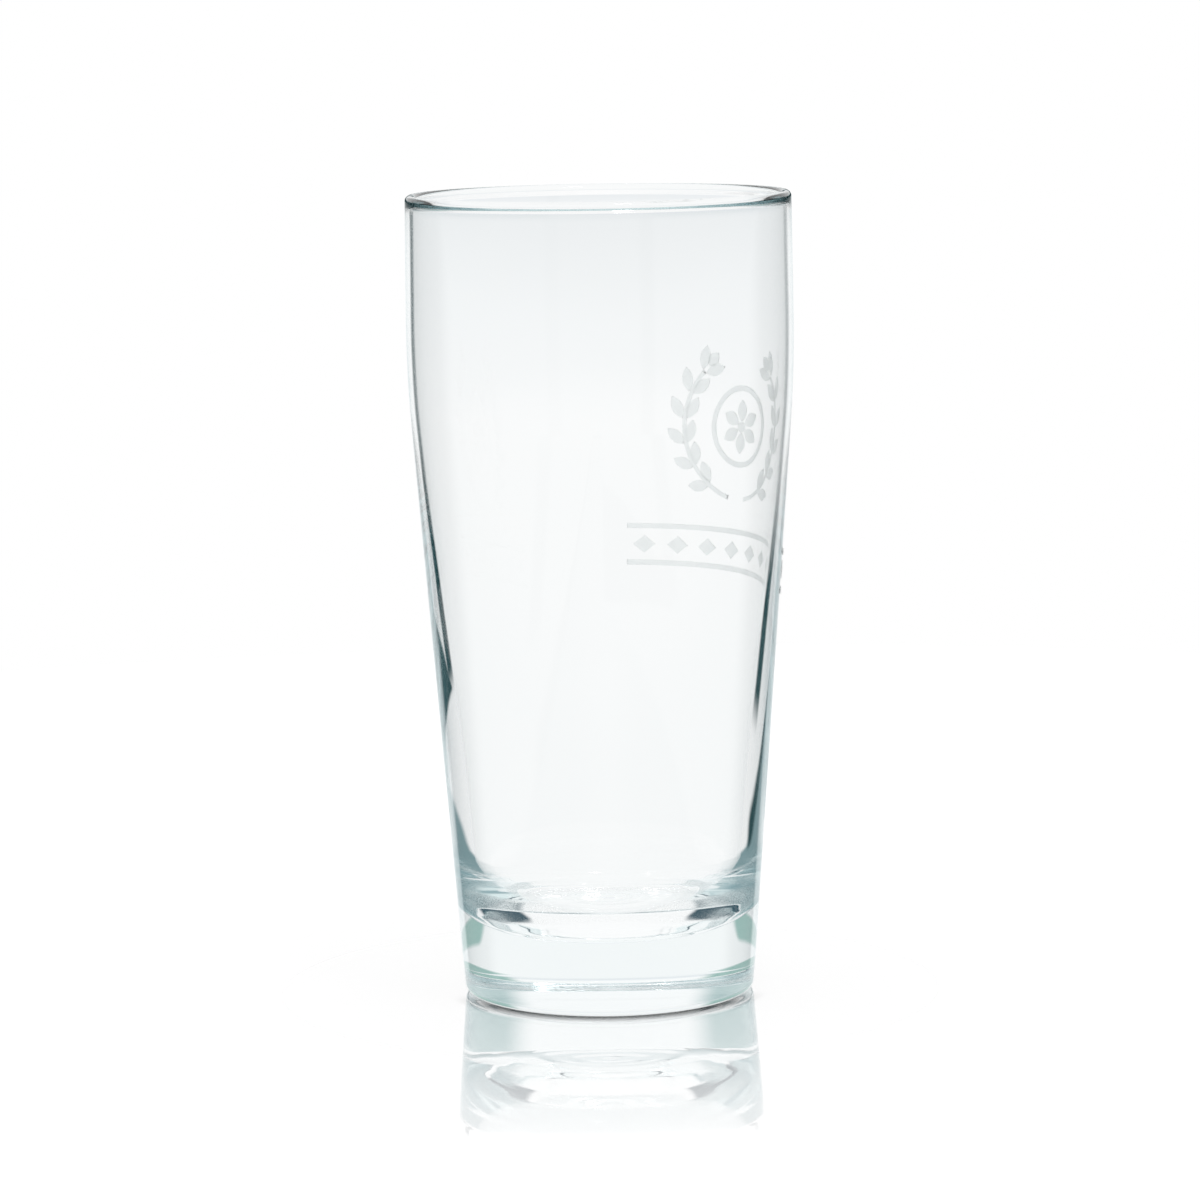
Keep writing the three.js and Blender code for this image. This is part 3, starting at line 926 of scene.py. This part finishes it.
def floor_material(stage, bent):
    """White floor with a painted shadow of the heel, and a mirror image at the foot that fades outwards.

    The heel's shadow is painted in front of it, and the heel's outside reflection shows it. Light that inner
    reflections have bent meets the painted shade of the bent view. Light straight through the solid foot
    meets painted green shade: wisps close to it and patches farther out, at its sides. Other light off or
    through the glass looks past the floor, at the painted surround.
    """
    material, tree, output = new_material("white_floor")
    place = add_node(tree, "TexCoord").outputs["Object"]
    path = add_node(tree, "LightPath")
    reflections, crossings = path.outputs["Glossy Depth"], path.outputs["Transmission Depth"]
    _, _, off, radius, behind = on_table(tree, place)
    # Painted shadow: the floor is darkened in front of the heel.
    in_front = fade_out(tree, behind, SHADOW_FRONT)
    shadow = eased(tree, radius, stage.contact_start, stage.contact_end, stage.contact_shadow, 0.0)
    lit = calculate(tree, "SUBTRACT", 1.0, product(tree, in_front, shadow))
    matt = add_node(tree, "BsdfDiffuse", {"Color": mixed(tree, lit, BLACK, MATT_GREY)})
    glow = product(tree, path.outputs["Is Camera Ray"], stage.floor_glow, lit)
    light = add_node(tree, "Emission", {"Color": WHITE, "Strength": glow})
    white = add_node(tree, "AddShader", {0: matt.outputs[0], 1: light.outputs[0]})
    mirror = add_node(tree, "BsdfGlossy", {"Color": lit, "Roughness": 0.0})
    gloss = eased(tree, radius, stage.gloss_start, stage.gloss_end, stage.floor_gloss, 0.0)
    surface = blended(tree, gloss, white, mirror)

    # Painted shade: green patches and wisps for light straight through the solid foot.
    patch = product(
        tree,
        fade_in(tree, radius, PATCH_START),
        fade_out(tree, radius, PATCH_END),
        fade_in(tree, off, PATCH_SIDES),
    )
    wisp_edge = calculate(tree, "MULTIPLY_ADD", off, *WISP_EDGE)
    past_wisp = calculate(tree, "SUBTRACT", radius, wisp_edge)
    wisp = product(tree, fade_in(tree, radius, WISP_START), fade_out(tree, past_wisp, WISP_END))
    twice_through = crossed_twice(tree, crossings)
    straight = product(tree, twice_through, fewer_than(tree, reflections, 1))
    patch = product(tree, calculate(tree, "MAXIMUM", patch, wisp), straight)
    clear = add_node(tree, "BsdfTransparent")
    green = add_node(tree, "Emission", {"Color": opaque(stage.painted_foot_green), "Strength": 1.0})
    through = blended(tree, patch, clear, green)

    # Painted reflection: near the heel, its outside reflection shows white with the painted shadow.
    at_heel = product(tree, fewer_than(tree, crossings, 1), fade_out(tree, radius, HEEL_IMAGE_END))
    heel = add_node(tree, "Emission", {"Color": WHITE, "Strength": lit})
    bounced = blended(tree, at_heel, through, heel)
    # Painted shade: the bent view, for light that one to three inner reflections have bent.
    is_bent = product(tree, at_least(tree, reflections, 1), fewer_than(tree, reflections, 4), twice_through)
    pattern = add_node(tree, "Emission", {"Color": add_group(tree, bent, place), "Strength": 1.0})
    passing = blended(tree, is_bent, bounced, pattern)
    past = calculate(tree, "MAXIMUM", path.outputs["Is Glossy Ray"], path.outputs["Is Transmission Ray"])
    either = blended(tree, past, surface, passing)
    tree.links.new(either.outputs[0], output.inputs["Surface"])
    return material


FLOOR_RINGS = 8
FLOOR_SPOKES = 96


def add_floor(stage, material):
    """A round floor at table height: rings of growing radius about the origin."""
    radius = np.linspace(0, stage.floor_radius, FLOOR_RINGS + 1)[1:]
    flat = turned(radius, np.full(FLOOR_RINGS, -stage.floor_drop), FLOOR_SPOKES)
    quads = ring_quads(FLOOR_RINGS, FLOOR_SPOKES)[:, ::-1].tolist()
    k = np.arange(FLOOR_SPOKES)
    hub = np.full(FLOOR_SPOKES, FLOOR_RINGS * FLOOR_SPOKES)
    middle = np.stack([hub, k, (k + 1) % FLOOR_SPOKES], axis=1).tolist()
    mesh = bpy.data.meshes.new("floor")
    centre = np.array([[0, 0, -stage.floor_drop]])
    mesh.from_pydata(np.concatenate([flat.reshape(-1, 3), centre]), [], quads + middle)
    mesh.materials.append(material)
    add_object("floor", mesh)


def add_camera(stage):
    """Camera in front of the glass, a little above it, rolled as the picture is."""
    camera = add_object("camera", bpy.data.cameras.new("camera"))
    camera.data.lens = stage.camera_lens
    camera.data.sensor_width = SENSOR_WIDTH
    place = Matrix.Translation((stage.camera_offset, -stage.camera_distance, stage.camera_height))
    tilt = Matrix.Rotation(math.pi / 2 - stage.camera_pitch, 4, "X")
    roll = Matrix.Rotation(stage.camera_roll, 4, "Z")
    camera.matrix_world = place @ tilt @ roll
    bpy.context.scene.camera = camera


LAMP_SIZE = 0.12
LAMP_PLACE = (0.14, -0.25, 0.9)
LAMP_TURN = (math.radians(-16), math.radians(9), 0.0)


def add_lamp(stage):
    """One small soft lamp overhead, whose image is the spark on the near lip."""
    lamp = add_object("overhead_lamp", bpy.data.lights.new("overhead_lamp", "AREA"))
    lamp.data.shape = "DISK"
    lamp.data.size = LAMP_SIZE
    lamp.data.energy = stage.lamp_power
    lamp.location = LAMP_PLACE
    lamp.rotation_euler = LAMP_TURN


class TUMBLER_OT_stage(bpy.types.Operator):
    """Adds the floor, the surroundings, the lamp and the camera"""

    bl_idname = "tumbler.stage"
    bl_label = "Stage"

    def execute(self, context):
        scene = context.scene
        stage = scene.tumbler_stage
        bent = painted_bent_view(stage)
        scene.world = studio_world(stage, painted_surround(stage, bent))
        add_floor(stage, floor_material(stage, bent))
        add_lamp(stage)
        add_camera(stage)
        scene.view_settings.view_transform = "Standard"
        scene.cycles.max_bounces = LIGHT_BOUNCES
        scene.cycles.glossy_bounces = LIGHT_BOUNCES
        scene.cycles.transmission_bounces = LIGHT_BOUNCES
        return {"FINISHED"}


class TUMBLER_OT_glass_body(bpy.types.Operator):
    """Adds the glass body"""

    bl_idname = "tumbler.glass_body"
    bl_label = "Glass body"

    def execute(self, context):
        glass = context.scene.tumbler_glass
        material = clear_glass(context.scene.tumbler_finish)
        add_piece("tumbler_glass", glass_surface(glass), material, "glass_body")
        return {"FINISHED"}


def add_print(context, name, surface):
    """Puts a printed motif on the wall, in the print's one material."""
    material = bpy.data.materials.get(ENAMEL_MATERIAL) or pale_enamel(context.scene.tumbler_finish)
    add_piece("enamel_" + name, surface, material, "print_" + name)


class TUMBLER_OT_ears(bpy.types.Operator):
    """Adds the two barley ears of the wreath"""

    bl_idname = "tumbler.ears"
    bl_label = "Barley ears"

    def execute(self, context):
        glass, motif = context.scene.tumbler_glass, context.scene.tumbler_print
        right = ear_surface(glass, motif)
        add_print(context, "ear_right", right)
        add_print(context, "ear_left", mirrored(motif, right))
        return {"FINISHED"}


class TUMBLER_OT_roundel(bpy.types.Operator):
    """Adds the ring inside the wreath"""

    bl_idname = "tumbler.roundel"
    bl_label = "Roundel"

    def execute(self, context):
        glass, motif = context.scene.tumbler_glass, context.scene.tumbler_print
        add_print(context, "roundel", roundel_surface(glass, motif))
        return {"FINISHED"}


class TUMBLER_OT_rosette(bpy.types.Operator):
    """Adds the rosette inside the ring"""

    bl_idname = "tumbler.rosette"
    bl_label = "Rosette"

    def execute(self, context):
        glass, motif = context.scene.tumbler_glass, context.scene.tumbler_print
        add_print(context, "rosette", rosette_surface(glass, motif))
        return {"FINISHED"}


class TUMBLER_OT_bands(bpy.types.Operator):
    """Adds the two stripes under the wreath"""

    bl_idname = "tumbler.bands"
    bl_label = "Stripes"

    def execute(self, context):
        glass, motif = context.scene.tumbler_glass, context.scene.tumbler_print
        add_print(context, "band_upper", band_surface(glass, motif, 1))
        add_print(context, "band_lower", band_surface(glass, motif, -1))
        return {"FINISHED"}


class TUMBLER_OT_lozenges(bpy.types.Operator):
    """Adds the row of lozenges between the stripes"""

    bl_idname = "tumbler.lozenges"
    bl_label = "Lozenges"

    def execute(self, context):
        glass, motif = context.scene.tumbler_glass, context.scene.tumbler_print
        for index in range(motif.lozenge_count):
            add_print(context, f"lozenge_{index + 1}", lozenge_surface(glass, motif, index))
        return {"FINISHED"}


OPERATORS = (
    TUMBLER_OT_stage,
    TUMBLER_OT_glass_body,
    TUMBLER_OT_ears,
    TUMBLER_OT_roundel,
    TUMBLER_OT_rosette,
    TUMBLER_OT_bands,
    TUMBLER_OT_lozenges,
)


class TUMBLER_PT_parts(bpy.types.Panel):
    """Lists the steps that build the tumbler"""

    bl_idname = "TUMBLER_PT_parts"
    bl_label = "Beer Tumbler"
    bl_space_type = "VIEW_3D"
    bl_region_type = "UI"
    bl_category = "Tumbler"

    def draw(self, context):
        for step in OPERATORS:
            self.layout.operator(step.bl_idname)


SETTINGS = {
    "tumbler_glass": GlassSizes,
    "tumbler_print": PrintSizes,
    "tumbler_finish": FinishSettings,
    "tumbler_stage": StageSettings,
}
CLASSES = (*SETTINGS.values(), *OPERATORS, TUMBLER_PT_parts)


def register():
    for kind in CLASSES:
        bpy.utils.register_class(kind)
    for name, kind in SETTINGS.items():
        setattr(bpy.types.Scene, name, PointerProperty(type=kind))


def unregister():
    for name in SETTINGS:
        delattr(bpy.types.Scene, name)
    for kind in reversed(CLASSES):
        bpy.utils.unregister_class(kind)


def main():
    register()
    bpy.ops.tumbler.stage()
    bpy.ops.tumbler.glass_body()
    bpy.ops.tumbler.ears()
    bpy.ops.tumbler.roundel()
    bpy.ops.tumbler.rosette()
    bpy.ops.tumbler.bands()
    bpy.ops.tumbler.lozenges()


if __name__ == "__main__":
    main()
